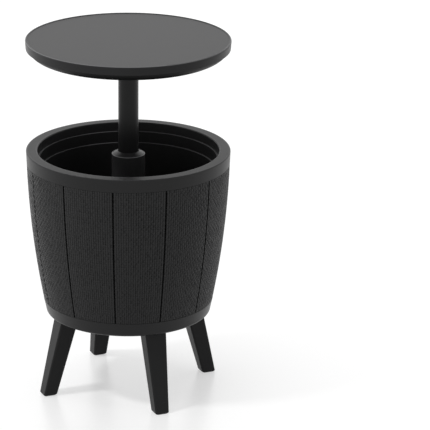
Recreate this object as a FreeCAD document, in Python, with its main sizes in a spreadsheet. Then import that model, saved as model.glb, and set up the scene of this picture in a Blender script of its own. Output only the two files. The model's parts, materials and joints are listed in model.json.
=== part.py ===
import FreeCAD, Part
import os
import re

import Sketcher
from FreeCAD import Placement, Rotation, Vector

# Cooler table: an insulated tub on four splayed legs, with a round table top that closes it.
# The top stands on a pole that slides in a column in the middle of the tub and locks with a
# quarter turn. The model stands raised and unlocked. The floor is Z = 0, and +Z is up the pole.

# Every size that can be set by itself: name, value in millimetres or degrees, meaning
SIZES = [
    ("RimHeight", 595, "rim of the tub above the floor"),
    ("RimDiameter", 485, "outside of the rim"),
    ("RimWidth", 27, "flat rim from the mouth to the outside"),
    ("TubDepth", 403, "rim to the underside of the tub"),
    ("TubTaper", 44.5, "how far the tub's foot lies inside its rim, on each side"),
    ("ShellWall", 3.5, "wall of the outer shell"),
    ("LinerWall", 3, "wall of the inner liner"),
    ("RimBandHeight", 31, "smooth band that hangs from the rim"),
    ("RimBandDraft", 1.2, "inward lean of that band over its height"),
    ("RimEdgeRound", 3, "rounding of the rim's outer edge"),
    ("MouthBevel", 2, "bevel of the rim's inner edge"),
    ("SeamGap", 0.6, "shadow line between the rim band and the woven field"),
    ("BaseBandHeight", 34, "smooth band round the tub's foot"),
    ("BaseBandDraft", 4.5, "outward lean of that band over its height"),
    ("BaseEdgeRound", 9, "rounding under that band"),
    ("BaseBandProud", 1, "how far the base band stands out from the woven field"),
    ("FieldInset", 1, "how far the woven field lies inside the rim band"),
    ("FieldBulge", 6.8, "rise of the field's curved side above a straight one"),
    ("PanelCount", 12, "woven panels round the tub"),
    ("GrooveAngle", 0.8, "width of the groove between two panels, in degrees"),
    ("GrooveDepth", 2, "depth of that groove"),
    ("UpperLedgeDepth", 22, "first step in the liner, below the rim"),
    ("LowerLedgeDepth", 49, "second step in the liner, below the rim"),
    ("LedgeWidth", 3.5, "width of each step"),
    ("LedgeDraft", 1.5, "inward lean of the wall above each step"),
    ("LinerFloorRise", 35, "liner's floor above the tub's underside"),
    ("LinerFloorInset", 14, "how far the liner's inner wall, at its floor, lies inside the tub's foot"),
    ("LinerFloorRound", 20, "rounding between the liner's wall and floor"),
    ("FitGap", 0.3, "gap between pieces that nest and stay put"),
    ("RunningGap", 0.4, "radial gap between pieces that slide or turn"),
    ("CutMargin", 1, "how far a cut runs past the face that it opens"),
    ("ColumnWall", 3.5, "wall of the fixed column"),
    ("ColumnDrop", 10, "edge of the column's collar below the rim"),
    ("CollarRise", 6.5, "height of the collar's bevel up to the pole"),
    ("CollarEdge", 4, "upright edge of the collar"),
    ("CollarBevel", 1, "small bevel on the collar's outer and inner edges"),
    ("CollarPlugLength", 13.5, "part of the collar inside the column"),
    ("ColumnFlangeWidth", 24.5, "flange that holds the column to the liner's floor"),
    ("ColumnFlangeThickness", 4, "thickness of that flange"),
    ("ColumnRootBevel", 6, "bevel between the flange and the column"),
    ("ColumnGasketThickness", 2, "seal under the column's flange"),
    ("ColumnBoltInset", 11, "how far the column's screws lie inside its flange"),
    ("ColumnBoltCount", 4, "screws in the column's flange"),
    ("RailDepth", 6, "height of the two rails inside the column"),
    ("RailPlay", 0.6, "gap between the rails and the ring at the pole's foot"),
    ("RailAngle", 50, "width of each rail, in degrees"),
    ("LugAngle", 34, "width of each locking lug, in degrees"),
    ("LugHeight", 12, "height of each locking lug"),
    ("LugPlay", 1, "gap above and below a lug in its slot"),
    ("TurnPlay", 1.5, "gap between rail and lug or key, in degrees"),
    ("PoleDiameter", 48, "outside of the pole"),
    ("PoleWall", 3, "wall of the pole"),
    ("GuideLength", 70, "height of the keyed guide"),
    ("GuideSeatDepth", 4, "recess for the clip in the guide's top"),
    ("GuideSeatWidth", 4, "width of that recess outside the pole"),
    ("StopGap", 0.6, "gap between the raised guide and the collar, its stop"),
    ("EndPlay", 0.5, "gap along the pole at each end of the guide"),
    ("ClipThickness", 2, "clip above the guide"),
    ("ClipBite", 1, "depth of the clip in the pole"),
    ("ClipMouthAngle", 50, "opening of the clip, in degrees"),
    ("ClipSeatGap", 0.6, "gap between the clip and the wall of its recess"),
    ("LockRingHeight", 20, "height of the ring at the pole's foot"),
    ("LockRingFloor", 4, "floor of that ring, under the pole"),
    ("LockRingWall", 5.4, "wall of that ring"),
    ("LockRestGap", 15.4, "lowered ring at the pole's foot above the column's foot"),
    ("SeatGap", 0.5, "gap between the closed lid and the rim"),
    ("LidReveal", 0.5, "how far the table top's edge lies inside the rim"),
    ("LidWall", 3, "wall of the table top and its pan"),
    ("LidBandHeight", 20, "upright band of the table top"),
    ("LidBandDraft", 1.2, "inward lean of that band over its height"),
    ("LidEdgeRound", 2.5, "rounding of the table top's edge"),
    ("LidBeadWidth", 6, "raised bead round the table top"),
    ("LidBeadHeight", 1.5, "height of that bead"),
    ("LidBeadCrown", 0.3, "outward curve of the bead's inner side"),
    ("LidPanDepth", 17, "height of the pan's sloping side below the band"),
    ("LidPanInset", 23, "how far the pan's flat underside lies inside the table top's edge"),
    ("LidPanBulge", 2.2, "outward curve of the pan's sloping side"),
    ("LidNestHeight", 10, "part of the pan inside the band"),
    ("LidRibCount", 6, "radial ribs under the table top"),
    ("LidRibHeight", 9, "depth of those ribs"),
    ("LidRibThickness", 2.4, "thickness of those ribs"),
    ("LidRingInset", 55, "how far the round rib lies inside the screws near the lid's edge"),
    ("LidBoltInset", 19, "how far those screws lie inside the pan's flat underside"),
    ("LidBoltCount", 6, "screws near the lid's edge"),
    ("HubBoltInset", 12, "how far the screws round the pole lie inside its flange"),
    ("HubBoltCount", 4, "screws round the pole"),
    ("HubFlangeWidth", 34, "flange that holds the pole in the lid, beyond the pole"),
    ("HubFlangeThickness", 4, "thickness of that flange"),
    ("HubSocketWall", 4.5, "wall of the pole's socket"),
    ("HubSocketHeight", 26, "height of the pole's socket"),
    ("HubRibThickness", 3, "ribs between socket and flange"),
    ("HubRibSetback", 2, "ribs' ends from the flange's edge and the socket's top"),
    ("LegInset", 40, "how far the middle of each leg's top lies inside the tub's foot"),
    ("LegSplay", 49, "outward lean of each leg over its height"),
    ("LegTopWidth", 53, "leg at the tub, across"),
    ("LegTopDepth", 44, "leg at the tub, in and out"),
    ("LegFootWidth", 34, "leg at the floor, across"),
    ("LegFootDepth", 34, "leg at the floor, in and out"),
    ("LegEdgeRound", 5, "rounding of the leg's long edges"),
    ("SoleChamfer", 3, "bevel round the leg's sole"),
    ("LegWall", 3.5, "wall of the hollow leg"),
    ("SoleThickness", 5, "floor of the hollow leg"),
    ("TenonHeight", 22, "part of the leg that plugs into the tub"),
    ("TenonInset", 4, "shoulder round that part"),
    ("SocketGap", 0.4, "gap round the plugged part"),
    ("SocketWall", 3, "wall of the socket in the tub"),
    ("EarLength", 24, "ear on the leg's inner side"),
    ("EarThickness", 5, "thickness of that ear"),
    ("EarRound", 8, "rounding of the ear's corners"),
    ("EarScrewSetback", 12, "ear's screw from the leg's inner side"),
    ("ScrewDiameter", 4, "shank of every screw"),
    ("ScrewHeadDiameter", 8, "head of every screw"),
    ("ScrewHeadHeight", 2.5, "height of the upright screws' heads"),
    ("ScrewHoleGap", 0.25, "gap round a shank where it passes a hole"),
    ("BossWall", 2.6, "wall of every screw boss round its hole"),
    ("BossDepth", 15, "depth of a screw in its boss"),
    ("CrossScrewLength", 7, "length of the screws into the pole's side"),
    ("CrossScrewHead", 1.6, "height of their sunk heads"),
    ("DrainOffset", 81, "drain from the axis, along X and along Y"),
    ("DrainBore", 14, "bore of the drain"),
    ("DrainTubeWall", 2.5, "wall of the drain tube"),
    ("DrainTubeDrop", 15, "drain tube below the tub"),
    ("DrainFlangeDiameter", 40, "flange of the drain inside the liner"),
    ("DrainFlangeThickness", 2.5, "thickness of that flange"),
    ("DrainGasketThickness", 1.5, "seal under that flange"),
    ("DrainNutHeight", 8, "nut under the tub"),
    ("DrainNutWidth", 30, "nut across its flats"),
    ("PlugStemLength", 14, "part of the plug inside the drain"),
    ("PlugTipChamfer", 1, "bevel at the tip of that part"),
    ("PlugSealGap", 0.1, "gap between the plug's ring and the drain tube"),
    ("PlugCapDiameter", 26, "cap of the plug"),
    ("PlugCapThickness", 4, "thickness of that cap"),
    ("PlugGripHeight", 8, "grip below the cap"),
    ("PlugGripThickness", 4, "thickness of that grip"),
    ("PlugSealThickness", 2, "ring between the cap and the drain tube"),
]

# A quarter circle rises above its chord by this share of its radius
QUARTER = "0.2928932"

# Places that several pieces share, as formulas of the sizes
TUB_FLOOR = "(RimHeight - TubDepth)"
LINER_FLOOR = f"({TUB_FLOOR} + LinerFloorRise)"
LINER_UNDER = f"({LINER_FLOOR} - LinerWall)"
BAND_FOOT = "(RimHeight - RimBandHeight)"
RIM_R = "(RimDiameter / 2)"
MOUTH_R = f"({RIM_R} - RimWidth)"
BASE_R = f"({RIM_R} - TubTaper)"
LINER_FLOOR_R = f"({BASE_R} - LinerFloorInset)"
BAND_FOOT_R = f"({RIM_R} - RimBandDraft)"
FIELD_TOP = f"({BAND_FOOT} - SeamGap)"
FIELD_TOP_R = f"({BAND_FOOT_R} - FieldInset)"
FIELD_FOOT_R = f"({BASE_R} + BaseBandDraft)"
NECK_R = f"({BAND_FOOT_R} - LinerWall - FitGap)"
COLUMN_FOOT = f"({LINER_FLOOR} + ColumnGasketThickness)"
COLUMN_EDGE = "(RimHeight - ColumnDrop)"
COLUMN_TOP = f"({COLUMN_EDGE} - CollarEdge)"
COLLAR_FOOT = f"({COLUMN_TOP} - CollarPlugLength)"
POLE_R = "(PoleDiameter / 2)"
LOCK_RING_R = f"({POLE_R} + LockRingWall)"
RAIL_R = f"({LOCK_RING_R} + RailPlay)"
COLUMN_BORE_R = f"({RAIL_R} + RailDepth)"
COLUMN_R = f"({COLUMN_BORE_R} + ColumnWall)"
COLUMN_FLANGE_R = f"({COLUMN_R} + ColumnFlangeWidth)"
COLUMN_BOLT_R = f"({COLUMN_FLANGE_R} - ColumnBoltInset)"
POLE_HOLE_R = f"({POLE_R} + RunningGap)"
GUIDE_TOP = f"({COLLAR_FOOT} - StopGap)"
GUIDE_FOOT = f"({GUIDE_TOP} - GuideLength)"
CLIP_FOOT = f"({GUIDE_TOP} - GuideSeatDepth + EndPlay)"
CLIP_R = f"({POLE_R} - ClipBite)"
LOCK_TOP = f"({GUIDE_FOOT} - EndPlay)"
LOCK_FOOT = f"({LOCK_TOP} - LockRingHeight)"
POLE_FOOT = f"({LOCK_FOOT} + LockRingFloor)"
LIFT_TRAVEL = f"({LOCK_FOOT} - {COLUMN_FOOT} - LockRestGap)"
PAN_FOOT = f"(RimHeight + SeatGap + {LIFT_TRAVEL})"
LID_BAND_FOOT = f"({PAN_FOOT} + LidPanDepth)"
LID_TOP = f"({LID_BAND_FOOT} + LidBandHeight)"
LID_PLATE = f"({LID_TOP} - LidBeadHeight)"
LID_CEILING = f"({LID_PLATE} - LidWall)"
LID_R = f"({RIM_R} - LidReveal)"
LID_BAND_R = f"({LID_R} - LidBandDraft)"
NEST_R = f"({LID_BAND_R} - LidWall - FitGap)"
PAN_R = f"({LID_R} - LidPanInset)"
LID_BOLT_R = f"({PAN_R} - LidBoltInset)"
LID_RING_R = f"({LID_BOLT_R} - LidRingInset)"
HUB_FLANGE_R = f"({POLE_R} + HubFlangeWidth)"
HUB_BOLT_R = f"({HUB_FLANGE_R} - HubBoltInset)"
HUB_FLOOR = f"({PAN_FOOT} + LidWall)"
POLE_TOP = f"({HUB_FLOOR} + HubSocketHeight)"
SCREW_R = "(ScrewDiameter / 2)"
BOSS_R = "(ScrewDiameter / 2 + BossWall)"
HOLE_R = "(ScrewDiameter / 2 + ScrewHoleGap)"
TENON_DEPTH = "(LegTopDepth - 2 * TenonInset)"
TENON_WIDTH = "(LegTopWidth - 2 * TenonInset)"
SOCKET_TOP = f"({TUB_FLOOR} + TenonHeight + SocketGap)"
LEG_TOP_X = f"({BASE_R} - LegInset)"
LEG_FOOT_X = f"({LEG_TOP_X} + LegSplay)"
EAR_SCREW_X = f"({LEG_TOP_X} - LegTopDepth / 2 - EarScrewSetback)"
DRAIN_TUBE_R = "(DrainBore / 2 + DrainTubeWall)"
DRAIN_FOOT = f"({TUB_FLOOR} - DrainTubeDrop)"

# Which way each leg points, in degrees from +X
LEGS = {"leg_right": 0, "leg_back": 90, "leg_left": 180, "leg_front": 270}

doc = FreeCAD.newDocument("CoolerTable")
sheet = doc.addObject("Spreadsheet::Sheet", "Sizes")


def fill_sheet():
    """Write each size into the sheet, with its name and meaning beside it."""
    for row, (name, number, meaning) in enumerate(SIZES, start=1):
        sheet.set(f"A{row}", meaning)
        sheet.set(f"B{row}", str(number))
        sheet.setAlias(f"B{row}", name)
    doc.recompute()


def formula(text):
    """Point the size names of a formula at the sheet."""
    return re.sub(r"\b([A-Z]\w*)", r"Sizes.\1", text)


def value(text):
    """Number that a formula gives now."""
    return float(sheet.evalExpression(formula(text)))


def new_body(label):
    """Start the solid of one node."""
    body = doc.addObject("PartDesign::Body", label)
    body.Label = label
    return body


def datum(body, role):
    """Plane or axis of the body's own origin."""
    return next(item for item in body.Origin.OriginFeatures if item.Role == role)


def new_sketch(body, name, plane, shift="0"):
    """Empty sketch on an origin plane, moved along the plane's normal."""
    sketch = body.newObject("Sketcher::SketchObject", name)
    sketch.AttachmentSupport = [(datum(body, plane), "")]
    sketch.MapMode = "FlatFace"
    sketch.setExpression("AttachmentOffset.Base.z", formula(shift))
    return sketch


def tie(sketch, kind, index, end, text):
    """Hold one point of the sketch at a distance from its origin."""
    number = sketch.addConstraint(Sketcher.Constraint(kind, -1, 1, index, end, value(text)))
    sketch.setExpression(f"Constraints[{number}]", formula(text))


def draw_outline(sketch, corners):
    """Closed outline. A corner is (across, up), or (across, up, bulge) where an arc leaves it
    and bulges to the right of the way to the next corner."""
    points = [Vector(value(corner[0]), value(corner[1]), 0) for corner in corners]
    edges = []
    for corner, here, there in zip(corners, points, points[1:] + points[:1]):
        if len(corner) == 2:
            edge = Part.LineSegment(here, there)
        else:
            along = there - here
            right = Vector(along.y, -along.x, 0).normalize()
            edge = Part.Arc(here, (here + there) * 0.5 + right * value(corner[2]), there)
        index = sketch.addGeometry(edge, False)
        forward = sketch.getPoint(index, 1).distanceToPoint(here) < 1e-6
        edges.append((index, 1 if forward else 2, 2 if forward else 1))
    for (index, _, end), (following, start, _) in zip(edges, edges[1:] + edges[:1]):
        sketch.addConstraint(Sketcher.Constraint("Coincident", index, end, following, start))
    for (index, start, _), corner, after in zip(edges, corners, corners[1:] + corners[:1]):
        tie(sketch, "DistanceX", index, start, corner[0])
        tie(sketch, "DistanceY", index, start, corner[1])
        if len(corner) == 3:
            span = f"(({after[0]}) - ({corner[0]})) ^ 2 + (({after[1]}) - ({corner[1]})) ^ 2"
            radius = f"abs(({span}) / (8 * ({corner[2]})) + ({corner[2]}) / 2)"
            number = sketch.addConstraint(Sketcher.Constraint("Radius", index, value(radius)))
            sketch.setExpression(f"Constraints[{number}]", formula(radius))


def draw_circle(sketch, across, up, radius):
    """Full circle in a sketch."""
    centre = Vector(value(across), value(up), 0)
    circle = Part.Circle(centre, Vector(0, 0, 1), value(radius))
    index = sketch.addGeometry(circle, False)
    tie(sketch, "DistanceX", index, 3, across)
    tie(sketch, "DistanceY", index, 3, up)
    number = sketch.addConstraint(Sketcher.Constraint("Radius", index, value(radius)))
    sketch.setExpression(f"Constraints[{number}]", formula(radius))


def box_corners(left, right, low, high):
    """Corners of a rectangle between four formulas."""
    return [(left, low), (right, low), (right, high), (left, high)]


def centred(x, y, width, depth):
    """Corners of a rectangle round a middle point, x side first."""
    return box_corners(
        f"{x} - ({width}) / 2", f"{x} + ({width}) / 2", f"{y} - ({depth}) / 2", f"{y} + ({depth}) / 2"
    )


def grow(body, feature):
    """Check that an added feature gave material."""
    doc.recompute()
    if body.Shape.isNull() or body.Shape.Volume < 1:
        raise RuntimeError(f"{feature.Label} gave no solid")
    return feature


def cut(body, feature, before):
    """Check that a cut removed material."""
    doc.recompute()
    if body.Shape.Volume > before - 1e-3:
        raise RuntimeError(f"{feature.Label} cut nothing")
    return feature


def spin(body, name, corners, plane="XZ_Plane", angle=None, axis="V_Axis", axis_at=None):
    """Turn an outline round the body's Z axis, or a part of a turn centred on the plane."""
    sketch = new_sketch(body, f"{name}_outline", plane)
    draw_outline(sketch, corners)
    if axis_at:
        draw_axis(sketch, axis_at)
    feature = body.newObject("PartDesign::Revolution", name)
    feature.Profile = sketch
    feature.ReferenceAxis = (sketch, [axis])
    if angle:
        feature.Midplane = True
        feature.setExpression("Angle", formula(angle))
    return grow(body, feature)


def draw_axis(sketch, axis_at):
    """Construction line that an outline turns round: upright at X, or level at height Z."""
    way, place = axis_at
    number = value(place)
    ends = (Vector(number, 0, 0), Vector(number, 1, 0))
    if way == "level":
        ends = (Vector(0, number, 0), Vector(1, number, 0))
    index = sketch.addGeometry(Part.LineSegment(*ends), True)
    sketch.addConstraint(Sketcher.Constraint("Vertical" if way == "upright" else "Horizontal", index))
    tie(sketch, "DistanceX" if way == "upright" else "DistanceY", index, 1, place)


def spin_cut(body, name, corners, plane="XZ_Plane", ahead="360", behind=None):
    """Cut an outline turned round the body's Z axis, by angles on the two sides of the plane."""
    before = body.Shape.Volume
    sketch = new_sketch(body, f"{name}_outline", plane)
    draw_outline(sketch, corners)
    feature = body.newObject("PartDesign::Groove", name)
    feature.Profile = sketch
    feature.ReferenceAxis = (sketch, ["V_Axis"])
    if behind:
        feature.Type = "TwoAngles"
        feature.setExpression("Angle2", formula(behind))
    feature.setExpression("Angle", formula(ahead))
    return cut(body, feature, before)


def pad(body, name, draw, foot, height, plane="XY_Plane", both_ways=False):
    """Raise an outline from its foot, or to both sides of the plane."""
    sketch = new_sketch(body, f"{name}_outline", plane, foot)
    draw(sketch)
    feature = body.newObject("PartDesign::Pad", name)
    feature.Profile = sketch
    feature.Midplane = both_ways
    feature.setExpression("Length", formula(height))
    return grow(body, feature)


def pocket(body, name, draw, foot, height):
    """Cut an outline upwards from its foot."""
    before = body.Shape.Volume
    sketch = new_sketch(body, f"{name}_outline", "XY_Plane", foot)
    draw(sketch)
    feature = body.newObject("PartDesign::Pocket", name)
    feature.Profile = sketch
    feature.Reversed = True
    feature.setExpression("Length", formula(height))
    return cut(body, feature, before)


def repeat(body, name, features, count):
    """Copy features evenly round the body's Z axis."""
    pattern = body.newObject("PartDesign::PolarPattern", name)
    pattern.Originals = features
    pattern.Axis = (datum(body, "Z_Axis"), [""])
    pattern.Angle = 360
    pattern.setExpression("Occurrences", formula(str(count)))
    body.Tip = pattern
    doc.recompute()
    return pattern


def make_outer_shell():
    """Outer tub: neck under the rim band, convex woven field, base band and floor."""
    body = new_body("outer_shell")
    band_top = f"({TUB_FLOOR} + BaseBandHeight)"
    spin(body, "shell_wall", [
        ("0", TUB_FLOOR),
        (f"{BASE_R} - BaseEdgeRound", TUB_FLOOR, f"{QUARTER} * BaseEdgeRound"),
        (BASE_R, f"{TUB_FLOOR} + BaseEdgeRound"),
        (f"{FIELD_FOOT_R} + BaseBandProud", band_top),
        (FIELD_FOOT_R, f"{band_top} + BaseBandProud", "FieldBulge"),
        (FIELD_TOP_R, FIELD_TOP),
        (NECK_R, FIELD_TOP),
        (NECK_R, "RimHeight - LinerWall"),
        (f"{NECK_R} - ShellWall", "RimHeight - LinerWall"),
        (f"{NECK_R} - ShellWall", FIELD_TOP),
        (f"{FIELD_TOP_R} - ShellWall", f"{FIELD_TOP} - ShellWall", "-FieldBulge"),
        (f"{FIELD_FOOT_R} - ShellWall", band_top),
        (f"{BASE_R} - ShellWall", f"{TUB_FLOOR} + BaseEdgeRound"),
        (f"{BASE_R} - BaseEdgeRound", f"{TUB_FLOOR} + ShellWall"),
        ("0", f"{TUB_FLOOR} + ShellWall"),
    ])
    groove = spin_cut(body, "panel_groove", [
        (f"{FIELD_FOOT_R} - GrooveDepth", f"{band_top} + BaseBandProud", "FieldBulge"),
        (f"{FIELD_TOP_R} - GrooveDepth", FIELD_TOP),
        (f"{FIELD_TOP_R} + GrooveDepth", FIELD_TOP, "-FieldBulge"),
        (f"{FIELD_FOOT_R} + GrooveDepth", f"{band_top} + BaseBandProud"),
    ], ahead="GrooveAngle / 2", behind="GrooveAngle / 2")
    repeat(body, "panel_grooves", [groove], "PanelCount")
    add_leg_sockets(body)
    add_column_bosses(body)
    pocket(
        body, "drain_hole",
        lambda sketch: draw_circle(sketch, "DrainOffset", "DrainOffset", f"{DRAIN_TUBE_R} + FitGap"),
        TUB_FLOOR, "ShellWall",
    )
    return body


def add_leg_sockets(body):
    """Blind sockets for the legs' plugs and bosses for their screws, in the shell's floor."""
    def draw_plug_outline(margin):
        depth = f"{TENON_DEPTH} + 2 * ({margin})"
        width = f"{TENON_WIDTH} + 2 * ({margin})"
        return lambda sketch: draw_outline(sketch, centred(LEG_TOP_X, "0", depth, width))

    def draw_ear_circle(radius):
        return lambda sketch: draw_circle(sketch, EAR_SCREW_X, "0", radius)

    block = pad(
        body, "socket_block", draw_plug_outline("SocketGap + SocketWall"),
        TUB_FLOOR, f"{SOCKET_TOP} + SocketWall - {TUB_FLOOR}",
    )
    boss = pad(body, "ear_boss", draw_ear_circle(BOSS_R), TUB_FLOOR, "BossDepth + BossWall")
    socket = pocket(
        body, "leg_socket", draw_plug_outline("SocketGap"), TUB_FLOOR, f"{SOCKET_TOP} - {TUB_FLOOR}",
    )
    pilot = pocket(body, "ear_pilot", draw_ear_circle(SCREW_R), TUB_FLOOR, "BossDepth")
    repeat(body, "leg_sockets", [block, boss, socket, pilot], len(LEGS))


def add_column_bosses(body):
    """Tall bosses that carry the liner's floor and take the column's screws."""
    boss = pad(
        body, "column_boss",
        lambda sketch: draw_circle(sketch, COLUMN_BOLT_R, "0", BOSS_R),
        TUB_FLOOR, f"{LINER_UNDER} - {TUB_FLOOR}",
    )
    pilot = pocket(
        body, "column_pilot",
        lambda sketch: draw_circle(sketch, COLUMN_BOLT_R, "0", SCREW_R),
        f"{LINER_UNDER} - BossDepth", "BossDepth",
    )
    repeat(body, "column_bosses", [boss, pilot], "ColumnBoltCount")


def make_inner_liner():
    """Inner tub: flat rim with its hanging band, two step ledges, tapering wall and floor."""
    body = new_body("inner_liner")
    upper = "(RimHeight - UpperLedgeDepth)"
    lower = "(RimHeight - LowerLedgeDepth)"
    spin(body, "liner_wall", [
        ("0", LINER_UNDER),
        (f"{LINER_FLOOR_R} - LinerFloorRound", LINER_UNDER, f"{QUARTER} * (LinerFloorRound + LinerWall)"),
        (f"{LINER_FLOOR_R} + LinerWall", f"{LINER_FLOOR} + LinerFloorRound"),
        (f"{MOUTH_R} - 2 * LedgeDraft - 2 * LedgeWidth + LinerWall", f"{lower} - LinerWall"),
        (f"{MOUTH_R} - 2 * LedgeDraft - LedgeWidth + LinerWall", f"{lower} - LinerWall"),
        (f"{MOUTH_R} - LedgeDraft - LedgeWidth + LinerWall", f"{upper} - LinerWall"),
        (f"{MOUTH_R} - LedgeDraft + LinerWall", f"{upper} - LinerWall"),
        (f"{MOUTH_R} + LinerWall", "RimHeight - LinerWall"),
        (f"{RIM_R} - LinerWall", "RimHeight - LinerWall"),
        (f"{BAND_FOOT_R} - LinerWall", BAND_FOOT),
        (BAND_FOOT_R, BAND_FOOT),
        (RIM_R, "RimHeight - RimEdgeRound", f"{QUARTER} * RimEdgeRound"),
        (f"{RIM_R} - RimEdgeRound", "RimHeight"),
        (f"{MOUTH_R} + MouthBevel", "RimHeight"),
        (MOUTH_R, "RimHeight - MouthBevel"),
        (f"{MOUTH_R} - LedgeDraft", upper),
        (f"{MOUTH_R} - LedgeDraft - LedgeWidth", upper),
        (f"{MOUTH_R} - 2 * LedgeDraft - LedgeWidth", lower),
        (f"{MOUTH_R} - 2 * LedgeDraft - 2 * LedgeWidth", lower),
        (LINER_FLOOR_R, f"{LINER_FLOOR} + LinerFloorRound", f"-{QUARTER} * LinerFloorRound"),
        (f"{LINER_FLOOR_R} - LinerFloorRound", LINER_FLOOR),
        ("0", LINER_FLOOR),
    ])
    hole = pocket(
        body, "column_hole",
        lambda sketch: draw_circle(sketch, COLUMN_BOLT_R, "0", HOLE_R),
        LINER_UNDER, "LinerWall",
    )
    repeat(body, "column_holes", [hole], "ColumnBoltCount")
    pocket(
        body, "drain_hole",
        lambda sketch: draw_circle(sketch, "DrainOffset", "DrainOffset", f"{DRAIN_TUBE_R} + FitGap"),
        LINER_UNDER, "LinerWall",
    )
    return body


def make_column_tube():
    """Fixed column: flanged tube with two inner rails, slotted for the lugs at both heights."""
    body = new_body("column_tube")
    spin(body, "column_wall", [
        (COLUMN_BORE_R, COLUMN_FOOT),
        (COLUMN_FLANGE_R, COLUMN_FOOT),
        (COLUMN_FLANGE_R, f"{COLUMN_FOOT} + ColumnFlangeThickness"),
        (f"{COLUMN_R} + ColumnRootBevel", f"{COLUMN_FOOT} + ColumnFlangeThickness"),
        (COLUMN_R, f"{COLUMN_FOOT} + ColumnFlangeThickness + ColumnRootBevel"),
        (COLUMN_R, COLUMN_TOP),
        (COLUMN_BORE_R, COLUMN_TOP),
    ])
    rail = spin(
        body, "rail",
        box_corners(RAIL_R, f"{COLUMN_R} - ColumnWall / 2", COLUMN_FOOT, f"{COLLAR_FOOT} - StopGap"),
        angle="RailAngle",
    )
    repeat(body, "rails", [rail], 2)
    slots = []
    for name, drop in (("raised_slot", "0"), ("closed_slot", LIFT_TRAVEL)):
        slots.append(spin_cut(
            body, name,
            box_corners(
                f"{RAIL_R} - CutMargin",
                COLUMN_BORE_R,
                f"{POLE_FOOT} - {drop} - LugPlay",
                f"{POLE_FOOT} - {drop} + LugHeight + LugPlay",
            ),
            ahead="LugAngle / 2 + TurnPlay", behind="RailAngle / 2 + TurnPlay",
        ))
    repeat(body, "slots", slots, 2)
    hole = pocket(
        body, "flange_hole",
        lambda sketch: draw_circle(sketch, COLUMN_BOLT_R, "0", HOLE_R),
        COLUMN_FOOT, "ColumnFlangeThickness",
    )
    repeat(body, "flange_holes", [hole], "ColumnBoltCount")
    return body


def make_column_gasket():
    """Flat ring that seals the column's flange on the liner's floor."""
    body = new_body("column_gasket")
    spin(body, "gasket", box_corners(
        COLUMN_R, COLUMN_FLANGE_R, LINER_FLOOR, COLUMN_FOOT,
    ))
    hole = pocket(
        body, "gasket_hole",
        lambda sketch: draw_circle(sketch, COLUMN_BOLT_R, "0", HOLE_R),
        LINER_FLOOR, "ColumnGasketThickness",
    )
    repeat(body, "gasket_holes", [hole], "ColumnBoltCount")
    return body


def make_column_collar():
    """Bevelled ring on the column, with the pole's bore and a plug inside the column."""
    body = new_body("column_collar")
    plug_r = f"({COLUMN_BORE_R} - FitGap)"
    spin(body, "collar", [
        (POLE_HOLE_R, COLLAR_FOOT),
        (plug_r, COLLAR_FOOT),
        (plug_r, COLUMN_TOP),
        (COLUMN_R, COLUMN_TOP),
        (COLUMN_R, f"{COLUMN_EDGE} - CollarBevel"),
        (f"{COLUMN_R} - CollarBevel", COLUMN_EDGE),
        (f"{POLE_HOLE_R} + CollarBevel", f"{COLUMN_EDGE} + CollarRise"),
        (POLE_HOLE_R, f"{COLUMN_EDGE} + CollarRise - CollarBevel"),
    ])
    return body


def make_pole_guide():
    """Guide bush: keyed on the column's rails outside, a running bore for the pole inside."""
    body = new_body("pole_guide")
    seat_r = f"({POLE_R} + GuideSeatWidth)"
    spin(body, "guide", [
        (POLE_HOLE_R, GUIDE_FOOT),
        (f"{COLUMN_BORE_R} - RunningGap", GUIDE_FOOT),
        (f"{COLUMN_BORE_R} - RunningGap", GUIDE_TOP),
        (seat_r, GUIDE_TOP),
        (seat_r, f"{GUIDE_TOP} - GuideSeatDepth"),
        (POLE_HOLE_R, f"{GUIDE_TOP} - GuideSeatDepth"),
    ])
    keyway = spin_cut(
        body, "keyway",
        box_corners(
            f"{RAIL_R} - RunningGap",
            COLUMN_BORE_R,
            f"{GUIDE_FOOT} - CutMargin",
            f"{GUIDE_TOP} + CutMargin",
        ),
        ahead="RailAngle / 2 + TurnPlay", behind="RailAngle / 2 + TurnPlay",
    )
    repeat(body, "keyways", [keyway], 2)
    return body


def make_guide_clip():
    """Open spring ring in the pole's groove, above the guide."""
    body = new_body("guide_clip")
    spin(body, "clip", box_corners(
        CLIP_R, f"{POLE_R} + GuideSeatWidth - ClipSeatGap", CLIP_FOOT, f"{CLIP_FOOT} + ClipThickness",
    ))
    spin_cut(
        body, "clip_mouth",
        box_corners(
            f"{CLIP_R} - CutMargin", f"{POLE_R} + GuideSeatWidth", CLIP_FOOT, f"{CLIP_FOOT} + ClipThickness",
        ),
        ahead="ClipMouthAngle / 2", behind="ClipMouthAngle / 2",
    )
    return body


def make_pole_tube():
    """Pole: plain tube with the clip's groove near its foot."""
    body = new_body("pole_tube")
    spin(body, "pole", [
        (f"{POLE_R} - PoleWall", POLE_FOOT),
        (POLE_R, POLE_FOOT),
        (POLE_R, CLIP_FOOT),
        (CLIP_R, CLIP_FOOT),
        (CLIP_R, f"{CLIP_FOOT} + ClipThickness"),
        (POLE_R, f"{CLIP_FOOT} + ClipThickness"),
        (POLE_R, POLE_TOP),
        (f"{POLE_R} - PoleWall", POLE_TOP),
    ])
    return body


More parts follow.
